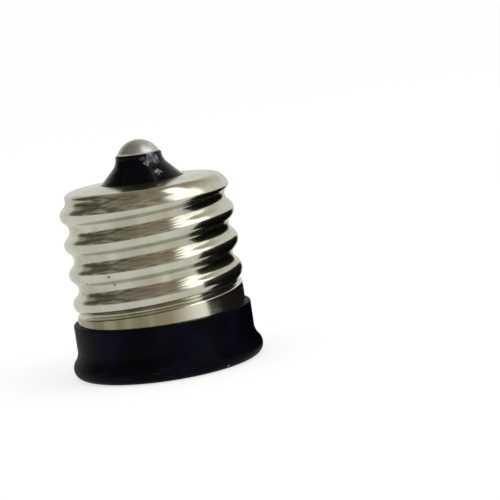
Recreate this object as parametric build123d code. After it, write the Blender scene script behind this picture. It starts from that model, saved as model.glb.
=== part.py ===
from build123d import *
import math
import os

# Lamp socket adapter: a candelabra lamp socket in an intermediate screw cap.
# Millimetres. The mouth stands on Z = 0 and the nose contact points up.

# Lamp socket, a rolled brass cup open at the mouth
socket_groove_radius = 5.95
socket_thread_depth = 0.60
socket_thread_pitch = 2.54
socket_thread_length = 9.3
socket_thread_run_out = 1.2
socket_waist_length = 1.5
socket_waist_step = 0.35
socket_corner_radius = 1.2
socket_sheet = 0.30
socket_floor_hole_radius = 1.9
socket_rim_recess = 0.8
flute_count = 40
flute_length = 1.8
flute_depth = 0.20
flute_flare = 0.10

# Screw cap, a rolled nickel-plated shell over the sleeve
cap_thread_depth = 0.70
cap_thread_pitch = 2.822
cap_sheet = 0.30
cap_first_crest = 0.46
cap_start_turn = 90
cap_skirt_step = 0.20
cap_skirt_length = 0.55
cap_skirt_rise = 0.6
cap_ledge_height = 0.80
cap_shoulder_step = 0.80
cap_shoulder_run = 1.5
cap_shoulder_blend = 0.15
cap_shoulder_radius = 0.8
cap_corner_chamfer = 0.55
cap_dome_rise = 0.25

# Insulating body, moulded in one piece
sleeve_wall = 0.80
floor_thickness = 2.6
collar_height = 5.1
collar_step = 0.28
collar_edge_chamfer = 0.15
rim_overhang = 0.62
rim_slope = 50
rim_lip_radius = 0.85
rim_flat = 0.10
rim_crown_radius = 0.9
mouth_edge_chamfer = 0.25
mouth_lead_depth = 0.7
mouth_lead_step = 0.25
nose_base_radius = 3.9
nose_neck_radius = 2.2
nose_neck_length = 0.78
nose_slope = 46
nose_blend_radius = 1.3
nose_edge_chamfer = 0.12

# Centre contact, a rivet through the nose
contact_radius = 1.93
contact_height = 1.30
contact_edge = 0.15
shank_radius = 1.0
tail_radius = 1.3
tail_thickness = 0.3
tail_hole_radius = 0.45
tail_hole_depth = 1.3
tail_slot_count = 4
tail_slot_width = 0.2

# Link strip from the socket's floor to the cap
strip_width = 2.2
strip_thickness = 0.25
strip_start = 3.2
strip_tab_length = 4.0
strip_angle = 90

# Fits
socket_clearance = 0.10
flute_clearance = 0.05
cap_clearance = 0.05
shank_clearance = 0.05
boss_clearance = 0.10
strip_clearance = 0.05

# Spacing of the curves that the rolled sheets are lofted through
section_count = 36
station_step = 0.33

# Radii, from the socket outward
socket_wall_radius = socket_groove_radius + socket_sheet
socket_waist_radius = socket_groove_radius - socket_waist_step
flute_root_radius = socket_wall_radius + flute_flare
flute_crest_radius = flute_root_radius + flute_depth
flute_seat_radius = flute_crest_radius + flute_clearance
mouth_radius = flute_seat_radius + mouth_lead_step
pocket_radius = socket_wall_radius + socket_clearance
cup_corner_chamfer = (socket_corner_radius + socket_sheet) * (2 - math.sqrt(2))
sleeve_radius = pocket_radius + sleeve_wall
cap_bore_radius = sleeve_radius + cap_clearance
cap_crest_radius = cap_bore_radius + cap_sheet + cap_thread_depth
cap_shoulder_edge_radius = cap_crest_radius - cap_shoulder_step
cap_hole_radius = nose_base_radius + cap_clearance
collar_radius = cap_crest_radius + collar_step
rim_radius = collar_radius + rim_overhang

# Heights, from the mouth upward
shoulder_z = socket_rim_recess + flute_length
step_z = shoulder_z + socket_sheet
waist_z = shoulder_z + socket_thread_length
corner_z = waist_z + socket_waist_length
floor_z = corner_z + socket_corner_radius
seat_z = floor_z + socket_sheet
cap_top_z = seat_z + floor_thickness + cap_sheet
cap_edge_z = cap_top_z - cap_dome_rise
cap_shoulder_lean = math.atan2(2 * cap_shoulder_step, cap_shoulder_run)
cap_shoulder_z = cap_edge_z - cap_shoulder_radius * (1 - math.sin(cap_shoulder_lean))
neck_z = cap_top_z + (nose_base_radius - nose_neck_radius) * math.tan(math.radians(nose_slope))
nose_top_z = neck_z + nose_neck_length
contact_top_z = nose_top_z + contact_height


def smooth(share):
    share = min(1.0, max(0.0, share))
    return share * share * (3.0 - 2.0 * share)


# Depth below the crest of a rolled thread: two equal arcs that meet tangent on each flank
def thread_drop(height, pitch, depth):
    half = pitch / 2
    flank = 2 * math.atan(depth / half)
    arc = half / (2 * math.sin(flank))
    offset = abs((height + half) % pitch - half)
    if offset <= half / 2:
        return arc - math.sqrt(arc * arc - offset * offset)
    offset = half - offset
    return depth - arc + math.sqrt(arc * arc - offset * offset)


def stations(start, end):
    count = math.ceil((end - start) / station_step)
    return [start + (end - start) * i / count for i in range(count + 1)]


# Bend from a wall that leans inward to a floor that tilts by the second angle
def corner_arc(wall_radius, start_z, bend_radius, lean, tilt):
    points = []
    for run in stations(bend_radius * lean, bend_radius * (math.pi / 2 - tilt))[1:]:
        bend = run / bend_radius
        inward = bend_radius * (math.cos(lean) - math.cos(bend))
        points.append((wall_radius - inward, start_z + bend_radius * (math.sin(bend) - math.sin(lean))))
    return points


# Solid inside a skin lofted once round the axis through one meridian curve per angle
def lofted_plug(meridian):
    sections = []
    for index in range(section_count):
        angle = 360 * index / section_count
        points = [Vector(r, 0, z).rotate(Axis.Z, angle) for r, z in meridian(angle)]
        marks = [place / (len(points) - 1) for place in range(len(points))]
        sections.append(Wire([Edge.make_spline(points, parameters=marks)]))
    skin = Shell.make_loft([*sections, sections[0]])
    ends = [Face(Wire([edge])) for edge in skin.edges() if edge.is_closed]
    return Solid(Shell([*skin.faces(), *ends]))


# Outline of (radius, height) corners, where a third number rounds the corner
def profile(*corners):
    outline = make_face(Polyline(*[corner[:2] for corner in corners], close=True))
    for corner in corners:
        if len(corner) == 3:
            vertex = outline.vertices().sort_by_distance((corner[0], corner[1], 0))[0]
            outline = fillet(vertex, corner[2])
    return outline


def turned(outline):
    return revolve(Plane.XZ * outline, axis=Axis.Z)


def upright(radius, bottom, top):
    base = (Align.CENTER, Align.CENTER, Align.MIN)
    return Pos(0, 0, bottom) * Cylinder(radius, top - bottom, align=base)


def block(start, end, width, bottom, top):
    base = (Align.MIN, Align.CENTER, Align.MIN)
    bar = Pos(start, 0, bottom) * Box(end - start, width, top - bottom, align=base)
    return Rot(0, 0, strip_angle) * bar


# 1 on the skirt below the last groove, 0 above the ledge where the two meet
def skirt_share(crest):
    return 1 - smooth((crest + cap_thread_pitch / 2) / cap_ledge_height)


# Screw cap: skirt, thread that grows out of it, rounded shoulder and domed top
def cap_radius(angle, z):
    above = z - collar_height
    crest = above - cap_first_crest - cap_thread_pitch * angle / 360
    start = skirt_share(crest - cap_thread_pitch) * (1 - smooth(angle / cap_start_turn))
    foot = 1 - smooth((above - cap_skirt_length) / cap_skirt_rise)
    skirt = max(foot, start, skirt_share(crest))
    groove = (1 - skirt) * thread_drop(crest, cap_thread_pitch, cap_thread_depth) + skirt * cap_skirt_step
    share = max(0.0, 1 - (cap_shoulder_z - z) / cap_shoulder_run)
    shoulder = cap_shoulder_step * share * share
    blend = 4 * cap_shoulder_blend * share * (1 - share)
    return cap_crest_radius - (groove + shoulder + math.hypot(groove - shoulder, blend)) / 2


def cap_outside(angle):
    points = [(cap_radius(angle, z), z) for z in stations(collar_height, cap_shoulder_z)]
    arc_end_radius = cap_shoulder_edge_radius - cap_shoulder_radius * math.cos(cap_shoulder_lean)
    tilt = math.atan2(cap_dome_rise, arc_end_radius - cap_hole_radius)
    arc = (cap_shoulder_radius, cap_shoulder_lean, tilt)
    points += corner_arc(cap_shoulder_edge_radius, cap_shoulder_z, *arc)
    edge_r, edge_z = points[-1]
    for run in stations(0, edge_r - cap_hole_radius + cap_sheet)[1:]:
        points.append((edge_r - run, edge_z + run * math.tan(tilt)))
    return points


under_z = cap_edge_z - cap_sheet
cap_inside = turned(
    profile(
        (0, 0),
        (cap_bore_radius, 0),
        (cap_bore_radius, under_z - cap_corner_chamfer),
        (cap_bore_radius - cap_corner_chamfer, under_z),
        (cap_hole_radius, under_z + cap_dome_rise),
        (cap_hole_radius, contact_top_z),
        (0, contact_top_z),
    )
)
outer_screw_shell = lofted_plug(cap_outside) - cap_inside


# Lamp socket: fluted rim, thread, narrower waist, rounded corner and flat floor
def socket_radius(angle, z):
    above = z - step_z
    crest = above - socket_thread_pitch * angle / 360
    waist = smooth((z - waist_z) / socket_waist_length)
    depth = smooth(above / socket_thread_run_out) * smooth((waist_z - z) / socket_thread_run_out)
    drop = depth * thread_drop(crest, socket_thread_pitch, socket_thread_depth)
    return socket_groove_radius - waist * socket_waist_step - drop


def socket_inside(angle):
    points = [(socket_groove_radius, shoulder_z - socket_sheet), (socket_groove_radius, shoulder_z)]
    points += [(socket_radius(angle, z), z) for z in stations(step_z, corner_z)]
    points += corner_arc(socket_waist_radius, corner_z, socket_corner_radius, 0, 0)
    return points


def fluted(root_radius, bottom, top):
    corners = []
    for index in range(2 * flute_count):
        radius = root_radius + flute_depth * (index % 2)
        corners.append(Vector(radius, 0, bottom).rotate(Axis.Z, 180 * index / flute_count))
    return Solid.extrude(Face(Wire.make_polygon(corners)), Vector(0, 0, top - bottom))


cup = turned(
    profile(
        (0, shoulder_z),
        (socket_wall_radius, shoulder_z),
        (socket_wall_radius, seat_z - cup_corner_chamfer),
        (socket_wall_radius - cup_corner_chamfer, seat_z),
        (0, seat_z),
    )
)
inner_screw_shell = cup + fluted(flute_root_radius, socket_rim_recess, step_z)
inner_screw_shell -= fluted(flute_root_radius - socket_sheet, 0, shoulder_z)
inner_screw_shell -= lofted_plug(socket_inside)
inner_screw_shell -= upright(socket_floor_hole_radius, corner_z, cap_top_z)

# Insulating body: collar with a beaded rim, thin sleeve, floor with a boss, and nose
rim_bend = math.tan(math.radians(90 - rim_slope) / 2)
rim_height = rim_lip_radius + rim_flat + rim_crown_radius * rim_bend
rim_top_z = rim_height + rim_overhang * math.tan(math.radians(rim_slope))
rim_slope_length = rim_overhang / math.cos(math.radians(rim_slope))
rim_blend_radius = 0.85 * (rim_slope_length / rim_bend - rim_crown_radius)
lid_z = under_z - cap_clearance
insulating_body = turned(
    profile(
        (0, 0),
        (rim_radius, 0, rim_lip_radius),
        (rim_radius, rim_height, rim_crown_radius),
        (collar_radius, rim_top_z, rim_blend_radius),
        (collar_radius, collar_height - collar_edge_chamfer),
        (collar_radius - collar_edge_chamfer, collar_height),
        (sleeve_radius, collar_height),
        (sleeve_radius, lid_z - cap_corner_chamfer),
        (sleeve_radius - cap_corner_chamfer, lid_z),
        (nose_base_radius, lid_z + cap_dome_rise),
        (nose_base_radius, cap_top_z),
        (nose_neck_radius, neck_z, nose_blend_radius),
        (nose_neck_radius, nose_top_z - nose_edge_chamfer),
        (nose_neck_radius - nose_edge_chamfer, nose_top_z),
        (0, nose_top_z),
    )
)
insulating_body -= turned(
    profile(
        (0, 0),
        (mouth_radius + mouth_edge_chamfer, 0),
        (mouth_radius, mouth_edge_chamfer),
        (mouth_radius, mouth_lead_depth),
        (flute_seat_radius, mouth_lead_depth),
        (flute_seat_radius, step_z),
        (pocket_radius, step_z),
        (pocket_radius, seat_z - cup_corner_chamfer),
        (pocket_radius - cup_corner_chamfer, seat_z),
        (0, seat_z),
    )
)
boss_radius = socket_floor_hole_radius - boss_clearance
insulating_body += upright(boss_radius, floor_z, seat_z)
insulating_body -= upright(shank_radius + shank_clearance, corner_z, contact_top_z)

# Link strip: foot under the socket's floor, tab down inside the cap
strip_top_z = seat_z + strip_thickness
tab_bottom_z = seat_z - strip_tab_length
tab_radius = cap_bore_radius - strip_thickness
foot = block(strip_start, cap_bore_radius, strip_width, seat_z, strip_top_z)
tab = block(strip_start, cap_bore_radius, strip_width, tab_bottom_z, strip_top_z)
tab -= upright(tab_radius, tab_bottom_z, strip_top_z)
link_strip = (foot + tab) & upright(cap_bore_radius, tab_bottom_z, strip_top_z)

slot_width = strip_width + 2 * strip_clearance
slot_end = sleeve_radius + strip_width
foot_slot = block(strip_start - strip_clearance, slot_end, slot_width, seat_z, strip_top_z)
tab_slot = block(strip_start, slot_end, slot_width, tab_bottom_z - strip_clearance, strip_top_z)
tab_slot -= upright(tab_radius - strip_clearance, tab_bottom_z - strip_clearance, strip_top_z)
insulating_body -= foot_slot + tab_slot

# Centre contact: domed head on the nose, shank, and a hollow tail clinched on the boss
dome_base_z = nose_top_z + contact_edge
dome_rise = contact_height - contact_edge
dome_radius = (contact_radius ** 2 + dome_rise ** 2) / (2 * dome_rise)
head = upright(contact_radius, nose_top_z, dome_base_z)
dome = Pos(0, 0, contact_top_z - dome_radius) * Sphere(dome_radius)
head += dome & upright(contact_radius, dome_base_z, contact_top_z)
tail_z = floor_z - tail_thickness
tail = upright(tail_radius, tail_z, floor_z)
for index in range(tail_slot_count):
    slot = Pos(tail_radius, 0, tail_z) * Box(2 * tail_radius, tail_slot_width, 2 * tail_thickness)
    tail -= Rot(0, 0, 360 * index / tail_slot_count) * slot
centre_contact_rivet = head + upright(shank_radius, floor_z, nose_top_z) + tail
centre_contact_rivet -= upright(tail_hole_radius, tail_z, tail_z + tail_hole_depth)

os.makedirs("parts", exist_ok=True)
for name, piece in {
    "insulating_body": insulating_body,
    "outer_screw_shell": outer_screw_shell,
    "inner_screw_shell": inner_screw_shell,
    "centre_contact_rivet": centre_contact_rivet,
    "link_strip": link_strip,
}.items():
    export_step(piece, f"parts/{name}.step")
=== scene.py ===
import bpy
import bmesh
import math
from mathutils import Matrix, Vector


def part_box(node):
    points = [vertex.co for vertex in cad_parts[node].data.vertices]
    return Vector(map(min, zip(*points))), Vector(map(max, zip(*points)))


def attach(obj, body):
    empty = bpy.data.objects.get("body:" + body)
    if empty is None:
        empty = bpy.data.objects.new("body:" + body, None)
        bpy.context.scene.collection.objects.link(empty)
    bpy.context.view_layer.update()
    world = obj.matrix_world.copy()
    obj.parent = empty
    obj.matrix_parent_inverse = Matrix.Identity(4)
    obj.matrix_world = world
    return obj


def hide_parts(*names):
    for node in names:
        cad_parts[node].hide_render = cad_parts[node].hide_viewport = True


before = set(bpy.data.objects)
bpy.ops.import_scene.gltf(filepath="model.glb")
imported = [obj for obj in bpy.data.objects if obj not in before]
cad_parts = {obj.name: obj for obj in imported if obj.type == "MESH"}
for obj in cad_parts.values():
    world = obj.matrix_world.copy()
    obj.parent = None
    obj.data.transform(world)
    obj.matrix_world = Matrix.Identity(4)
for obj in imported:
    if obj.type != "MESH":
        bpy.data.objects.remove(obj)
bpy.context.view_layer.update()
mm = 0.001
print("frame loaded:", sorted(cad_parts))

# lengths are in millimetres and angles in degrees, here and in every dictionary below
meshing = {
    "cornerSteps": 8,
    "weld": 0.0005,
    "onAxis": 0.01,
    "sharpAngle": 40,
}


# radius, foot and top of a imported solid
def reach(node):
    low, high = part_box(node)
    return min(-low.x, high.x) / mm, low.z / mm, high.z / mm


rimRadius, mouthFoot, noseTop = reach("insulating_body")
crestRadius, skirtFoot, capTop = reach("outer_screw_shell")
socketFoot, socketTop = reach("inner_screw_shell")[1:]
headRadius, tailFoot, headTop = reach("centre_contact_rivet")


# line of (radius, height) corners in the XZ plane; a third number rounds the corner by that setback
def outline(corners, closed=False):
    bm = bmesh.new()
    verts = [bm.verts.new((corner[0] * mm, 0, corner[1] * mm)) for corner in corners]
    for start, end in zip(verts, verts[1:]):
        bm.edges.new((start, end))
    if closed:
        bm.edges.new((verts[-1], verts[0]))
    for vert, corner in zip(verts, corners):
        if len(corner) == 3:
            bmesh.ops.bevel(bm, geom=[vert], offset=corner[2] * mm, offset_type="OFFSET",
                            segments=meshing["cornerSteps"], profile=0.5, affect="VERTICES",
                            clamp_overlap=False, material=-1)
    return bm


# cuts the upright edges of a line into short ones, up to a height with a finer step
def splitUpright(bm, step, fineTop=0, fineStep=0):
    for edge in bm.edges[:]:
        rise = abs(edge.verts[0].co.z - edge.verts[1].co.z) / mm
        low = edge.verts[0].co.z + edge.verts[1].co.z < 2 * fineTop * mm
        if rise > 2 * step:
            cuts = math.ceil(rise / (fineStep if low else step)) - 1
            bmesh.ops.subdivide_edges(bm, edges=[edge], cuts=cuts)


# full turn of a line about the axis
def turn(bm, steps):
    bmesh.ops.spin(bm, geom=bm.verts[:] + bm.edges[:], cent=(0, 0, 0), axis=(0, 0, 1),
                   angle=2 * math.pi, steps=steps, use_merge=True)
    bmesh.ops.remove_doubles(bm, verts=bm.verts, dist=meshing["weld"] * mm)
    bmesh.ops.recalc_face_normals(bm, faces=bm.faces)


# sets each vertex to the radius that a rule gives for its angle, height and old radius
def reshape(bm, rule):
    for vert in bm.verts:
        radius = math.hypot(vert.co.x, vert.co.y) / mm
        if radius > meshing["onAxis"]:
            angle = math.degrees(math.atan2(vert.co.y, vert.co.x)) % 360
            scale = rule(angle, vert.co.z / mm, radius) / radius
            vert.co.x *= scale
            vert.co.y *= scale


# 0 up to 0, 1 from 1 on, with an even curve between
def smooth(share):
    share = min(1.0, max(0.0, share))
    return share * share * (3 - 2 * share)


# fall below the crest of a rolled thread: two equal arcs that meet on each flank
def threadFall(height, pitch, depth):
    half = pitch / 2
    arc = half / (2 * math.sin(2 * math.atan(depth / half)))
    away = abs((height + half) % pitch - half)
    if away <= half / 2:
        return arc - math.sqrt(arc * arc - away * away)
    return depth - arc + math.sqrt(arc * arc - (half - away) ** 2)


def newObject(name, bm, finish):
    mesh = bpy.data.meshes.new(name)
    bm.to_mesh(mesh)
    bm.free()
    mesh.materials.append(finish)
    made = bpy.data.objects.new(name, mesh)
    bpy.context.scene.collection.objects.link(made)
    return made


def addPiece(name, bm, node, finish):
    piece = newObject(name, bm, finish)
    piece.data.shade_smooth()
    piece.data.set_sharp_from_angle(angle=math.radians(meshing["sharpAngle"]))
    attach(piece, "root")
    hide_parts(node)
    print("made", name, "with", len(piece.data.polygons), "faces")


# edges of spots: share that fades, the noise that thins them out, and the noise that makes one ragged
spotEdges = {
    "fade": 0.5,
    "thinScale": 0.43,
    "thinStep": 0.04,
    "raggedNoise": (2600, 3),
    "raggedShare": 2.2,
    "raggedCore": 0.35,
}


# a shader socket that can be used in sums
class Shade:
    def __init__(self, tree, socket=None):
        self.tree = tree
        self.socket = socket

    # any node: its type, its settings, then the values or links of its sockets
    def add(self, kind, settings=None, sockets=None, out=0):
        node = self.tree.nodes.new(kind)
        for name, value in (settings or {}).items():
            setattr(node, name, value)
        for name, value in (sockets or {}).items():
            if isinstance(value, Shade):
                self.tree.links.new(value.socket, node.inputs[name])
            else:
                node.inputs[name].default_value = value
        return Shade(self.tree, node.outputs[out] if node.outputs else None)

    # another output of the same node
    def other(self, out):
        return Shade(self.tree, self.socket.node.outputs[out])

    def math(self, operation, first, second):
        return self.add("ShaderNodeMath", {"operation": operation}, {0: first, 1: second})

    def __add__(self, value):
        return self.math("ADD", self, value)

    def __radd__(self, value):
        return self.math("ADD", value, self)

    def __sub__(self, value):
        return self.math("SUBTRACT", self, value)

    def __rsub__(self, value):
        return self.math("SUBTRACT", value, self)

    def __mul__(self, value):
        return self.math("MULTIPLY", self, value)

    def __rmul__(self, value):
        return self.math("MULTIPLY", value, self)

    def __pow__(self, value):
        return self.math("POWER", self, value)

    # 0 up to the first limit, 1 from the second on
    def ramp(self, limits, unit=1):
        return self.add("ShaderNodeMapRange", {"interpolation_type": "SMOOTHSTEP"},
                        {"Value": self, "From Min": limits[0] * unit, "From Max": limits[1] * unit})

    # colour that goes from the first to the second as this mask goes from 0 to 1
    def tint(self, first, second):
        return self.add("ShaderNodeMix", {"data_type": "RGBA"}, {0: self, 6: first, 7: second}, 2)

    # noise on this coordinate, cells to the metre, stretched by the three scales
    def noise(self, scale, detail=3.0, stretch=(1, 1, 1)):
        place = self.add("ShaderNodeMapping", None, {"Vector": self, "Scale": stretch})
        return self.add("ShaderNodeTexNoise", None, {"Vector": place, "Scale": scale, "Detail": detail})

    # small round spots, sparse where a second noise is low
    def spots(self, scale, size, share):
        cell = self.add("ShaderNodeTexVoronoi", None, {"Vector": self, "Scale": scale})
        dots = 1 - cell.ramp((size * spotEdges["fade"], size))
        thin = self.noise(scale * spotEdges["thinScale"])
        return dots * thin.ramp((share, share + spotEdges["thinStep"]))

    # ragged spot: 1 close to a point, 0 from about the given size on
    def near(self, point, size):
        away = self.add("ShaderNodeVectorMath", {"operation": "DISTANCE"}, {0: self, 1: point}, "Value")
        away = away + (self.noise(*spotEdges["raggedNoise"]) - 0.5) * (spotEdges["raggedShare"] * size)
        return 1 - away.ramp((size * spotEdges["raggedCore"], size))

    def bump(self, depth):
        return self.add("ShaderNodeBump", None, {"Height": self, "Distance": depth * mm})


def newFinish(name):
    material = bpy.data.materials.new(name)
    material.use_nodes = True
    material.node_tree.nodes.clear()
    return material, Shade(material.node_tree)


def endFinish(shade, sockets):
    surface = shade.add("ShaderNodeBsdfPrincipled", None, sockets)
    shade.add("ShaderNodeOutputMaterial", None, {"Surface": surface})


print("helpers ready")

# nickel plate on rolled sheet: hazy polish, roll marks, small pits, tarnish in the grooves, and a skirt whose
# streaks are partly stain and partly painted reflection of the room, with a painted highlight on its right
# side
nickel = {
    "bright": (0.64, 0.635, 0.54, 1),
    "hazy": (0.56, 0.55, 0.46, 1),
    "tarnish": (0.44, 0.40, 0.29, 1),
    "pit": (0.16, 0.14, 0.10, 1),
    # skirt colours: partly stain, partly painted reflection of the dark room above
    "olive": (0.225, 0.21, 0.14, 1),
    "straw": (0.35, 0.295, 0.195, 1),
    "umber": (0.30, 0.215, 0.15, 1),
    # painted highlight: the pale colour the skirt takes on toward its right side
    "wearAndPaintedHighlight": (0.88, 0.83, 0.71, 1),
    "hazeNoise": (430, 5),  # noises: cells to the metre, detail, stretch
    "rollNoise": (260, 6, (1, 1, 9)),
    "dentNoise": (900, 2),
    "streakNoise": (560, 4, (1, 1, 0.10)),
    "umberNoise": (210, 3, (1, 1, 0.2)),
    "pitSpots": (620, 0.11, 0.58),  # spots: cells to the metre, size, share
    "hazeRamp": (0.35, 0.7),
    "tarnishRamp": (0.3, 0.6),
    "tarnishShare": 0.6,
    "grooveRamp": (7.5, 8.0),  # radius
    "streakRamp": (0.40, 0.60),
    "umberRamp": (0.50, 0.68),
    "umberShare": 0.7,
    "paintedHighlightRamp": (0.2, 4.0),  # place across
    "skirtTop": 4.3,
    "skirtPitch": 2.822,
    "skirtRamp": (-0.1, 0.15),  # height above the skirt's climbing top
    "startRamp": (0, 0.25),  # share of a turn
    "pitShare": 0.8,
    "rough": {"polish": 0.10, "haze": 0.10, "roll": 0.06, "pit": 0.25},
    "relief": {"roll": 0.5, "dent": 0.35, "haze": 0.6, "pit": 0.8, "depth": 0.018},
}


def nickelFinish():
    material, shade = newFinish("nickelPlate")
    rough = nickel["rough"]
    relief = nickel["relief"]
    place = shade.add("ShaderNodeTexCoord", out="Object")
    cut = shade.add("ShaderNodeSeparateXYZ", None, {"Vector": place}, "X")
    radius = (cut * cut + cut.other("Y") * cut.other("Y")) ** 0.5
    haze = place.noise(*nickel["hazeNoise"])
    rollMarks = place.noise(*nickel["rollNoise"])
    dents = place.noise(*nickel["dentNoise"])
    pits = place.spots(*nickel["pitSpots"])
    grooves = 1 - radius.ramp(nickel["grooveRamp"], mm)
    tarnished = grooves * haze.ramp(nickel["tarnishRamp"]) * nickel["tarnishShare"]
    colour = haze.ramp(nickel["hazeRamp"]).tint(nickel["bright"], nickel["hazy"])
    colour = tarnished.tint(colour, nickel["tarnish"])
    # the skirt ends along a line that climbs with the thread and fades over its first quarter turn
    around = shade.math("FRACT", shade.math("ARCTAN2", cut.other("Y"), cut) * (0.5 / math.pi), 0)
    climb = cut.other("Z") * (1 / mm) - nickel["skirtTop"] - around * nickel["skirtPitch"]
    start = 1 - (climb - nickel["skirtPitch"]).ramp(nickel["skirtRamp"])
    start = start * (1 - around.ramp(nickel["startRamp"]))
    skirt = shade.math("MAXIMUM", 1 - climb.ramp(nickel["skirtRamp"]), start)
    # painted reflection: the skirt's olive, straw and umber streaks stand partly for the mirrored room and
    # partly for a stain
    brown = place.noise(*nickel["umberNoise"]).ramp(nickel["umberRamp"]) * nickel["umberShare"]
    stainAndReflection = place.noise(*nickel["streakNoise"]).ramp(nickel["streakRamp"])
    stainAndReflection = brown.tint(stainAndReflection.tint(nickel["olive"], nickel["straw"]), nickel["umber"])
    # painted highlight: the skirt grows pale toward its right side, which faces the soft boxes
    stainAndReflection = cut.ramp(nickel["paintedHighlightRamp"], mm).tint(stainAndReflection, nickel["wearAndPaintedHighlight"])
    colour = skirt.tint(colour, stainAndReflection)
    colour = (pits * nickel["pitShare"]).tint(colour, nickel["pit"])
    height = rollMarks * relief["roll"] + dents * relief["dent"]
    height = height + haze * relief["haze"] - pits * relief["pit"]
    endFinish(shade, {
        "Base Color": colour,
        "Metallic": 1.0,
        "Roughness": rough["polish"] + haze * rough["haze"] + rollMarks * rough["roll"] + pits * rough["pit"],
        "Normal": height.bump(relief["depth"]),
    })
    return material


# black thermoset: satin collar with dust and rubbed edges, glossy nose with a pale smear on its right front
# that is partly residue and partly painted highlight
moulding = {
    "black": (0.0006, 0.0008, 0.0018, 1),
    "navy": (0.0016, 0.0022, 0.0075, 1),
    "rubbed": (0.005, 0.006, 0.010, 1),
    "dust": (0.30, 0.30, 0.30, 1),
    # pale smear, partly residue and partly painted highlight on the nose's right front
    "smearAndHighlight": (0.10, 0.106, 0.110, 1),
    "whiteSmearAndHighlight": (0.40, 0.42, 0.43, 1),
    "smearAndHighlightSpots": (  # turn, radius, depth below the nose's top, size
        (301, 2.2, 0.40, 1.05),
        (299, 2.95, 1.95, 0.62),
    ),
    "cloudNoise": (260, 4),
    "grainNoise": (5200, 2),
    "scuffNoise": (700, 6, (1, 1, 5)),
    "blotchNoise": (1500, 3),
    "smearAndHighlightNoise": (1900, 2),
    "dustSpots": (900, 0.10, 0.56),
    "noseRamp": (16.9, 17.2),  # height
    "ringRamp": (-0.10, -0.02),  # height from the nose's top
    "rimRamp": (0.7, 1.9),  # height
    "navyRamp": (0.4, 0.7),
    "noseBlack": 0.85,
    "noseClean": 0.6,
    "scuffRamp": (0.52, 0.72),
    "blotchRamp": (0.34, 0.62),
    "thinSmearAndHighlight": 0.25,
    "whiteRamp": (0.44, 0.72),
    "smearAndHighlightShare": 0.9,
    "specular": 0.04,
    "rough": {"satin": 0.36, "cloud": 0.16, "rubbed": 0.15, "nose": 0.22},
    "coat": {"least": 0.75, "more": 0.2, "ramp": (0.40, 0.58), "rough": 0.07, "ior": 1.12},
    "relief": {"cloud": 1.5, "grain": 0.25, "scuff": 0.4, "dust": 0.5, "blotch": 2.2, "depth": 0.012},
}


def mouldingFinish():
    material, shade = newFinish("blackMoulding")
    rough = moulding["rough"]
    coat = moulding["coat"]
    relief = moulding["relief"]
    place = shade.add("ShaderNodeTexCoord", out="Object")
    cut = shade.add("ShaderNodeSeparateXYZ", None, {"Vector": place}, "Z")
    nose = cut.ramp(moulding["noseRamp"], mm)
    ring = cut.ramp([noseTop + limit for limit in moulding["ringRamp"]], mm)
    rim = 1 - cut.ramp(moulding["rimRamp"], mm)
    cloud = place.noise(*moulding["cloudNoise"])
    grain = place.noise(*moulding["grainNoise"])
    scuffs = place.noise(*moulding["scuffNoise"])
    blotches = place.noise(*moulding["blotchNoise"])
    dust = place.spots(*moulding["dustSpots"]) * (1 - nose * moulding["noseClean"])
    rubbed = rim * scuffs.ramp(moulding["scuffRamp"])
    # smear spots at the nose's right front, where the soft boxes glint: partly residue, partly painted
    # highlight
    smearAndHighlight = 0
    for turnTo, radius, depth, size in moulding["smearAndHighlightSpots"]:
        side = math.radians(turnTo)
        point = Vector((math.cos(side) * radius, math.sin(side) * radius, noseTop - depth)) * mm
        smearAndHighlight = smearAndHighlight + place.near(point, size * mm)
    thin = moulding["thinSmearAndHighlight"]
    smearAndHighlight = smearAndHighlight * (thin + blotches.ramp(moulding["blotchRamp"]) * (1 - thin)) * moulding["smearAndHighlightShare"]
    white = place.noise(*moulding["smearAndHighlightNoise"]).ramp(moulding["whiteRamp"])
    navy = cloud.ramp(moulding["navyRamp"]) * (1 - nose * moulding["noseBlack"])
    colour = navy.tint(moulding["black"], moulding["navy"])
    colour = rubbed.tint(colour, moulding["rubbed"])
    colour = smearAndHighlight.tint(colour, white.tint(moulding["smearAndHighlight"], moulding["whiteSmearAndHighlight"]))
    colour = dust.tint(colour, moulding["dust"])
    height = cloud * relief["cloud"] + grain * relief["grain"] * (1 - nose) + scuffs * relief["scuff"]
    height = height + dust * relief["dust"] + nose * blotches * relief["blotch"]
    matt = rough["satin"] + cloud * rough["cloud"] + rubbed * rough["rubbed"]
    endFinish(shade, {
        "Base Color": colour,
        "Roughness": matt - nose * rough["nose"],
        "Specular IOR Level": moulding["specular"],
        "Coat Weight": nose * (1 - ring) * (coat["least"] + blotches.ramp(coat["ramp"]) * coat["more"]),
        "Coat Roughness": coat["rough"],
        "Coat IOR": coat["ior"],
        "Normal": height.bump(relief["depth"]),
    })
    return material


# bright rolled brass, with painted shade that browns it a little deeper in the cup
brass = {
    "bright": (0.80, 0.55, 0.20, 1),
    "warm": (0.66, 0.40, 0.13, 1),
    # painted shade deep in the cup
    "brown": (0.34, 0.16, 0.06, 1),
    "pit": (0.12, 0.06, 0.03, 1),
    "hazeNoise": (380, 5),
    "rollNoise": (300, 6, (1, 1, 8)),
    "pitSpots": (760, 0.10, 0.56),
    "hazeRamp": (0.35, 0.7),
    "deepRamp": (3, 14),  # height
    "paintedShadeRamp": (0.45, 0.75),
    "paintedShadeShare": 0.7,
    "pitShare": 0.8,
    "rough": {"polish": 0.17, "haze": 0.14, "roll": 0.08, "pit": 0.2},
    "relief": {"roll": 0.6, "haze": 0.5, "pit": 0.8, "depth": 0.014},
}


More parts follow.
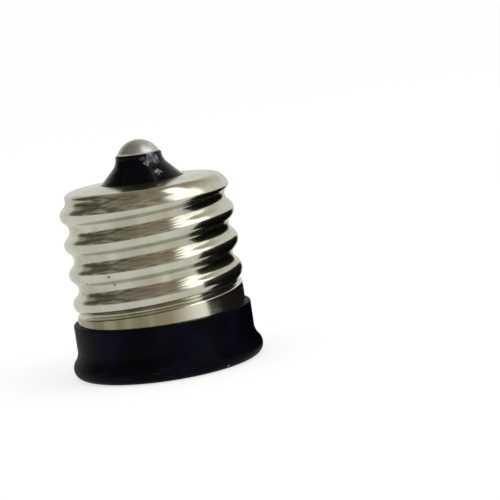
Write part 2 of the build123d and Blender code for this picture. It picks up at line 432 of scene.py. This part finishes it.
def brassFinish(name):
    material, shade = newFinish(name)
    rough = brass["rough"]
    relief = brass["relief"]
    place = shade.add("ShaderNodeTexCoord", out="Object")
    cut = shade.add("ShaderNodeSeparateXYZ", None, {"Vector": place}, "Z")
    haze = place.noise(*brass["hazeNoise"])
    rollMarks = place.noise(*brass["rollNoise"])
    pits = place.spots(*brass["pitSpots"])
    # painted shade: brown grows with height, toward the cup's floor
    paintedDeepShade = cut.ramp(brass["deepRamp"], mm) * haze.ramp(brass["paintedShadeRamp"]) * brass["paintedShadeShare"]
    colour = haze.ramp(brass["hazeRamp"]).tint(brass["bright"], brass["warm"])
    colour = paintedDeepShade.tint(colour, brass["brown"])
    colour = (pits * brass["pitShare"]).tint(colour, brass["pit"])
    height = rollMarks * relief["roll"] + haze * relief["haze"] - pits * relief["pit"]
    endFinish(shade, {
        "Base Color": colour,
        "Metallic": 1.0,
        "Roughness": rough["polish"] + haze * rough["haze"] + rollMarks * rough["roll"] + pits * rough["pit"],
        "Normal": height.bump(relief["depth"]),
    })
    return material


# satin plated rivet with fine grain and a few scratches
contact = {
    "plate": (0.70, 0.71, 0.70, 1),
    "dull": (0.53, 0.54, 0.53, 1),
    "scratch": (0.80, 0.80, 0.78, 1),
    "cloudNoise": (900, 5),
    "grainNoise": (6500, 3),
    "scratchNoise": (900, 4, (1, 7, 1)),
    "dullRamp": (0.35, 0.65),
    "scratchRamp": (0.62, 0.70),
    "scratchShare": 0.5,
    "rough": {"satin": 0.30, "cloud": 0.16, "grain": 0.05, "scratch": 0.06},
    "relief": {"grain": 0.6, "cloud": 1.6, "scratch": 0.4, "depth": 0.010},
}


def contactFinish():
    material, shade = newFinish("contactPlate")
    rough = contact["rough"]
    relief = contact["relief"]
    place = shade.add("ShaderNodeTexCoord", out="Object")
    cloud = place.noise(*contact["cloudNoise"])
    grain = place.noise(*contact["grainNoise"])
    scratches = place.noise(*contact["scratchNoise"]).ramp(contact["scratchRamp"])
    colour = cloud.ramp(contact["dullRamp"]).tint(contact["plate"], contact["dull"])
    colour = (scratches * contact["scratchShare"]).tint(colour, contact["scratch"])
    height = grain * relief["grain"] + cloud * relief["cloud"] - scratches * relief["scratch"]
    wearAndPaintedHighlight = cloud * rough["cloud"] + grain * rough["grain"] - scratches * rough["scratch"]
    endFinish(shade, {
        "Base Color": colour,
        "Metallic": 1.0,
        "Roughness": rough["satin"] + wearAndPaintedHighlight,
        "Normal": height.bump(relief["depth"]),
    })
    return material


print("finishes ready")

# screw cap: rolled sheet with a skirt, a thread that grows out of it, a shoulder and a hole for the nose
cap = {
    "sheet": 0.30,
    "pitch": 2.822,
    "depth": 0.70,
    "firstCrest": 0.46,
    "startTurn": 90,
    "skirtStep": 0.20,
    "skirtLength": 0.55,
    "skirtRise": 0.6,
    "ledgeHeight": 0.42,
    "shoulderStep": 0.80,
    "shoulderRun": 1.5,
    "shoulderBlend": 0.15,
    "shoulderRadius": 0.8,
    "topTurn": 85,  # from upright to the domed top
    "cornerShare": 0.98,
    "domeRise": 0.25,
    "holeRadius": 3.95,
    "steps": 240,
    "step": 0.13,
    "ledgeTop": 2.3,
    "ledgeStep": 0.04,
}
lean = math.atan2(2 * cap["shoulderStep"], cap["shoulderRun"])
shoulderHeight = capTop - cap["domeRise"] - cap["shoulderRadius"] * (1 - math.sin(lean))
shoulderEdge = crestRadius - cap["shoulderStep"]
setback = cap["shoulderRadius"] * math.tan((math.radians(cap["topTurn"]) - lean) / 2)
cornerRadius = shoulderEdge - setback * math.sin(lean)
cornerHeight = shoulderHeight + setback * math.cos(lean)


# 1 on the skirt below the last groove, 0 above the ledge where the two meet
def skirtShare(crest):
    return 1 - smooth((crest + cap["pitch"] / 2) / cap["ledgeHeight"])


def capRule(angle, height, radius):
    if height > shoulderHeight:
        return radius
    above = height - skirtFoot
    crest = above - cap["firstCrest"] - cap["pitch"] * angle / 360
    start = skirtShare(crest - cap["pitch"]) * (1 - smooth(angle / cap["startTurn"]))
    foot = 1 - smooth((above - cap["skirtLength"]) / cap["skirtRise"])
    skirt = max(foot, start, skirtShare(crest))
    groove = (1 - skirt) * threadFall(crest, cap["pitch"], cap["depth"]) + skirt * cap["skirtStep"]
    share = max(0.0, 1 - (shoulderHeight - height) / cap["shoulderRun"])
    shoulder = cap["shoulderStep"] * share * share
    blend = 4 * cap["shoulderBlend"] * share * (1 - share)
    return crestRadius - (groove + shoulder + math.hypot(groove - shoulder, blend)) / 2


bm = outline([
    (shoulderEdge, skirtFoot),
    (shoulderEdge, skirtFoot + cap["ledgeTop"]),
    (shoulderEdge, shoulderHeight),
    (cornerRadius, cornerHeight, setback * cap["cornerShare"]),
    (cap["holeRadius"], capTop),
])
splitUpright(bm, cap["step"], skirtFoot + cap["ledgeTop"], cap["ledgeStep"])
turn(bm, cap["steps"])
reshape(bm, capRule)
bmesh.ops.solidify(bm, geom=bm.faces[:], thickness=cap["sheet"] * mm)
addPiece("screwCap", bm, "outer_screw_shell", nickelFinish())

# lamp socket: rolled cup with a fluted rim, the lamp's thread, a waist and a floor with a hole
socket = {
    "sheet": 0.30,
    "grooveRadius": 5.95,
    "pitch": 2.54,
    "depth": 0.60,
    "shoulder": 2.6,
    "threadStart": 2.9,
    "threadEnd": 11.9,
    "waistEnd": 13.4,
    "waistStep": 0.35,
    "runOut": 1.2,
    "cornerRadius": 1.2,
    "holeRadius": 1.9,
    "flutes": 40,
    "fluteRadius": 6.15,
    "fluteDepth": 0.20,
    "stepsToFlute": 8,
    "step": 0.13,
}
socketFloor = socketTop - socket["sheet"]
waistRadius = socket["grooveRadius"] - socket["waistStep"]


def socketRule(angle, height, radius):
    if height > socket["waistEnd"]:
        return radius
    if height < socket["threadStart"]:
        wave = 0.5 * socket["fluteDepth"] * math.cos(math.radians(socket["flutes"] * angle))
        share = 1 - smooth((height - socket["shoulder"]) / (socket["threadStart"] - socket["shoulder"]))
        return socket["grooveRadius"] + share * (socket["fluteRadius"] + wave - socket["grooveRadius"])
    above = height - socket["threadStart"]
    left = socket["threadEnd"] - height
    crest = above - socket["pitch"] * angle / 360
    waist = socket["waistStep"] * smooth(-left / (socket["waistEnd"] - socket["threadEnd"]))
    depth = smooth(above / socket["runOut"]) * smooth(left / socket["runOut"])
    return socket["grooveRadius"] - waist - depth * threadFall(crest, socket["pitch"], socket["depth"])


bm = outline([
    (waistRadius, socketFoot),
    (waistRadius, socketFloor, socket["cornerRadius"]),
    (socket["holeRadius"], socketFloor),
])
splitUpright(bm, socket["step"])
turn(bm, socket["flutes"] * socket["stepsToFlute"])
reshape(bm, socketRule)
bmesh.ops.solidify(bm, geom=bm.faces[:], thickness=-socket["sheet"] * mm)
addPiece("lampSocket", bm, "inner_screw_shell", brassFinish("socketBrass"))

# insulating body: collar with a beaded rim, thin sleeve, floor with a boss, and the nose
body = {
    "collarRadius": 8.48,
    "collarEdge": 0.18,
    "rimHeight": 1.278,
    "rimTop": 2.016,
    "rimLip": 0.85,
    "rimCrown": 0.328,
    "rimBlend": 0.541,
    "mouthRadius": 6.85,
    "mouthEdge": 0.25,
    "leadDepth": 0.7,
    "fluteSeat": 6.6,
    "pocketRadius": 6.35,
    "pocketCorner": 0.85,
    "sleeveRadius": 7.15,
    "lidCorner": 0.55,
    "lidGap": 0.35,
    "noseRadius": 3.9,
    "neckRadius": 2.2,
    "neckLength": 0.78,
    "neckEdge": 0.20,
    "noseBlend": 0.52,
    "bossRadius": 1.8,
    "shankHole": 1.05,
    "steps": 160,
}
lid = capTop - cap["domeRise"] - body["lidGap"]
bm = outline([
    (body["mouthRadius"] + body["mouthEdge"], mouthFoot),
    (rimRadius, mouthFoot, body["rimLip"]),
    (rimRadius, body["rimHeight"], body["rimCrown"]),
    (body["collarRadius"], body["rimTop"], body["rimBlend"]),
    (body["collarRadius"], skirtFoot, body["collarEdge"]),
    (body["sleeveRadius"], skirtFoot),
    (body["sleeveRadius"], lid, body["lidCorner"]),
    (body["noseRadius"], lid + cap["domeRise"]),
    (body["noseRadius"], capTop),
    (body["neckRadius"], noseTop - body["neckLength"], body["noseBlend"]),
    (body["neckRadius"], noseTop, body["neckEdge"]),
    (body["shankHole"], noseTop),
    (body["shankHole"], socketFloor),
    (body["bossRadius"], socketFloor),
    (body["bossRadius"], socketTop),
    (body["pocketRadius"], socketTop, body["pocketCorner"]),
    (body["pocketRadius"], socket["threadStart"]),
    (body["fluteSeat"], socket["threadStart"]),
    (body["fluteSeat"], body["leadDepth"]),
    (body["mouthRadius"], body["leadDepth"]),
    (body["mouthRadius"], body["mouthEdge"]),
], closed=True)
turn(bm, body["steps"])
addPiece("insulatingBody", bm, "insulating_body", mouldingFinish())

# centre contact: domed head on the nose, shank, and a hollow tail clinched in four petals
rivet = {
    "headEdge": 0.15,
    "headRound": 0.05,
    "domeSteps": 18,
    "domeWeld": 0.02,
    "shankRadius": 1.0,
    "tailRadius": 1.3,
    "tailRound": 0.14,
    "tailThickness": 0.3,
    "holeRadius": 0.45,
    "holeRound": 0.10,
    "holeDepth": 1.3,
    "petals": 4,
    "slitDepth": 0.2,
    "slitFlat": 1,
    "slitHalf": 5,
    "slitMargin": 0.05,
    "steps": 144,
}
domeRise = headTop - noseTop - rivet["headEdge"]
domeRadius = (headRadius ** 2 + domeRise ** 2) / (2 * domeRise)
tailTop = tailFoot + rivet["tailThickness"]
bm = outline([
    (headRadius, noseTop + rivet["headEdge"], rivet["headRound"]),
    (headRadius, noseTop),
    (rivet["shankRadius"], noseTop),
    (rivet["shankRadius"], tailTop),
    (rivet["tailRadius"], tailTop),
    (rivet["tailRadius"], tailFoot, rivet["tailRound"]),
    (rivet["holeRadius"], tailFoot, rivet["holeRound"]),
    (rivet["holeRadius"], tailFoot + rivet["holeDepth"]),
    (0, tailFoot + rivet["holeDepth"]),
])
crown = bm.verts.new((0, 0, headTop * mm))  # the dome's meridian is an arc swept from its crown
bmesh.ops.spin(bm, geom=[crown], cent=(0, 0, (headTop - domeRadius) * mm), axis=(0, 1, 0),
               angle=math.asin(headRadius / domeRadius), steps=rivet["domeSteps"])
bmesh.ops.remove_doubles(bm, verts=bm.verts, dist=rivet["domeWeld"] * mm)
turn(bm, rivet["steps"])
for vert in bm.verts:
    if vert.co.z / mm < tailTop - rivet["slitMargin"]:
        turnShare = math.degrees(math.atan2(vert.co.y, vert.co.x)) % (360 / rivet["petals"])
        away = abs(turnShare - 180 / rivet["petals"])
        slit = 1 - smooth((away - rivet["slitFlat"]) / rivet["slitHalf"])
        vert.co.z += rivet["slitDepth"] * mm * slit
addPiece("centreContact", bm, "centre_contact_rivet", contactFinish())

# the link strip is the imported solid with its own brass
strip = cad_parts["link_strip"]
strip.data.materials.clear()
strip.data.materials.append(brassFinish("stripBrass"))
print("strip dressed")

# stage: a pale floor, and a dark drum and foot to the right that only mirror images show
stage = {
    "floorSize": 3000,
    "floorColour": (0.98, 0.98, 0.97, 1),
    "cameraColour": (1, 1, 1, 1),
    "cameraShare": 0.65,
    "mirrorColour": (0.72, 0.73, 0.71, 1),
    "mirrorShare": 0.85,
    "dark": (0.004, 0.004, 0.004, 1),
    "steps": 64,
}
drum = {
    "place": Vector((19.6, 1, 9.2)),
    "frontRadius": 8.3,
    "backRadius": 5.9,
    "length": 24,
}
footBlock = {
    "low": Vector((10.4, -6, 0)),
    "high": Vector((24, 16, 4.0)),
}


# matt board, partly white to the camera and partly of one even colour in mirror images
def stageFinish(name, colour, cameraShare, mirrorShare):
    material, shade = newFinish(name)
    ray = shade.add("ShaderNodeLightPath", out="Is Camera Ray")
    mirror = ray.other("Is Glossy Ray") + ray.other("Is Transmission Ray")
    seen = ray.tint(stage["mirrorColour"], stage["cameraColour"])
    glow = shade.add("ShaderNodeEmission", None, {"Color": seen, "Strength": 1.0})
    matt = shade.add("ShaderNodeBsdfDiffuse", None, {"Color": colour})
    share = ray * cameraShare + mirror * mirrorShare
    surface = shade.add("ShaderNodeMixShader", None, {0: share, 1: matt, 2: glow})
    shade.add("ShaderNodeOutputMaterial", None, {"Surface": surface})
    return material


bm = bmesh.new()
bmesh.ops.create_circle(bm, cap_ends=True, radius=stage["floorSize"] * mm, segments=stage["steps"])
paleFloor = stageFinish("paleFloor", stage["floorColour"], stage["cameraShare"], stage["mirrorShare"])
floor = newObject("floor", bm, paleFloor)

dark = stageFinish("drumBlack", stage["dark"], 0, 0)
drumTilt = math.atan2(drum["frontRadius"] - drum["backRadius"], drum["length"])
bm = bmesh.new()
bmesh.ops.create_cone(bm, cap_ends=True, segments=stage["steps"], radius1=drum["backRadius"] * mm,
                      radius2=drum["frontRadius"] * mm, depth=drum["length"] * mm)
bmesh.ops.rotate(bm, matrix=Matrix.Rotation(math.pi / 2 - drumTilt, 3, "X"), verts=bm.verts)
bmesh.ops.translate(bm, vec=drum["place"] * mm, verts=bm.verts)
darkDrum = newObject("darkDrum", bm, dark)

bm = bmesh.new()
bmesh.ops.create_cube(bm, size=1)
bmesh.ops.scale(bm, vec=(footBlock["high"] - footBlock["low"]) * mm, verts=bm.verts)
bmesh.ops.translate(bm, vec=(footBlock["high"] + footBlock["low"]) / 2 * mm, verts=bm.verts)
darkFoot = newObject("darkFoot", bm, dark)
for board in (darkDrum, darkFoot):
    board.visible_camera = False
    board.visible_diffuse = False
    board.visible_shadow = False
    board.visible_transmission = False

# surroundings by direction: a bright horizon, higher behind and to the right, under a dark patchy ceiling
sky = {
    "room": (0.85, 0.84, 0.80, 1),
    "back": (0.78, 0.78, 0.75, 1),
    "backRamp": (-0.35, 0.35),
    "ceilingDark": (0.12, 0.104, 0.078, 1),
    "ceilingLight": (0.48, 0.38, 0.29, 1),
    "patchNoise": (3.2, 3, (1, 1, 1.6)),
    "patchRamp": (0.40, 0.60),
    "ceilingLeft": (0.082, 0.088, 0.064, 1),
    "leftRamp": (-0.75, -0.15),
    "ceilingSpot": (0.46, 0.45, 0.38, 1),
    "spotNoise": (5.5, 3),
    "spotRamp": (0.50, 0.62),
    "spotShare": 0.8,
    "ceilingRight": (0.66, 0.64, 0.58, 1),
    "rightRamp": (0.25, 0.75),
    "zenith": (0.27, 0.25, 0.205, 1),
    "zenithRamp": (0.82, 0.96),
    "horizonRamp": (0.06, 0.20),
    "liftToRight": 0.7,
    "liftRamp": (-0.1, 0.6),
    "liftHeight": 0.48,
    "white": (1, 1, 1, 1),
}
world = bpy.data.worlds.new("studio")
bpy.context.scene.world = world
world.use_nodes = True
world.node_tree.nodes.clear()
shade = Shade(world.node_tree)
direction = shade.add("ShaderNodeTexCoord", out="Generated")
across = shade.add("ShaderNodeSeparateXYZ", None, {"Vector": direction}, "Y")
toRight = across.other("X")
upward = across.other("Z")
patches = direction.noise(*sky["patchNoise"]).ramp(sky["patchRamp"])
spots = direction.noise(*sky["spotNoise"]).ramp(sky["spotRamp"]) * sky["spotShare"]
ceiling = patches.tint(sky["ceilingDark"], sky["ceilingLight"])
ceiling = toRight.ramp(sky["leftRamp"]).tint(sky["ceilingLeft"], ceiling)
ceiling = spots.tint(ceiling, sky["ceilingSpot"])
ceiling = toRight.ramp(sky["rightRamp"]).tint(ceiling, sky["ceilingRight"])
ceiling = upward.ramp(sky["zenithRamp"]).tint(ceiling, sky["zenith"])
lift = (across + toRight * sky["liftToRight"]).ramp(sky["liftRamp"]) * sky["liftHeight"]
surround = across.ramp(sky["backRamp"]).tint(sky["room"], sky["back"])
surround = (upward - lift).ramp(sky["horizonRamp"]).tint(surround, ceiling)
soft = shade.add("ShaderNodeBackground", None, {"Color": surround, "Strength": 1.0})
white = shade.add("ShaderNodeBackground", None, {"Color": sky["white"], "Strength": 1.0})
ray = shade.add("ShaderNodeLightPath", out="Is Camera Ray")
plain = ray + ray.other("Is Diffuse Ray")
mixed = shade.add("ShaderNodeMixShader", None, {0: plain, 1: soft, 2: white})
shade.add("ShaderNodeOutputWorld", None, {"Surface": mixed})

# soft boxes: the bearing is to the right of the camera, and all face a point on the part's axis
softBoxes = {
    "frontBox": {"bearing": 64, "elevation": 36, "distance": 330, "width": 290, "height": 210, "glow": 1.15},
    "highBox": {"bearing": 72, "elevation": 61, "distance": 330, "width": 90, "height": 120, "glow": 2.4},
}
lampAim = Vector((0, 0, 10))
for name, box in softBoxes.items():
    lamp = bpy.data.lights.new(name, "AREA")
    lamp.shape = "RECTANGLE"
    lamp.size = box["width"] * mm
    lamp.size_y = box["height"] * mm
    lamp.energy = box["glow"] * math.pi * lamp.size * lamp.size_y
    bearing = math.radians(box["bearing"])
    elevation = math.radians(box["elevation"])
    flat = math.cos(elevation)
    side = Vector((math.sin(bearing) * flat, -math.cos(bearing) * flat, math.sin(elevation)))
    holder = bpy.data.objects.new(name, lamp)
    holder.location = (side * box["distance"] + lampAim) * mm
    holder.rotation_euler = side.to_track_quat("Z", "Y").to_euler()
    bpy.context.scene.collection.objects.link(holder)
print("stage and lamps ready")

# camera at the photograph's place: in front, a little above, turned so that the part is left of the middle
view = {
    "distance": 180,
    "height": 34.9,
    "turnRight": 2.90,
    "tiltDown": 7.98,
    "roll": -8.28,
    "focalPixels": 1916,
    "framePixels": 500,
    "sensorWidth": 36,
    "clipStart": 10,
}
lens = bpy.data.cameras.new("camera")
lens.sensor_width = view["sensorWidth"]
lens.lens = view["sensorWidth"] * view["focalPixels"] / view["framePixels"]
lens.clip_start = view["clipStart"] * mm
camera = bpy.data.objects.new("camera", lens)
aim = Matrix.Rotation(math.radians(-view["turnRight"]), 4, "Z")
aim = aim @ Matrix.Rotation(math.radians(90 - view["tiltDown"]), 4, "X")
aim = aim @ Matrix.Rotation(math.radians(view["roll"]), 4, "Z")
camera.matrix_world = Matrix.Translation(Vector((0, -view["distance"], view["height"])) * mm) @ aim
bpy.context.scene.collection.objects.link(camera)
bpy.context.scene.camera = camera
bpy.context.scene.view_settings.view_transform = "Standard"
print("camera ready")
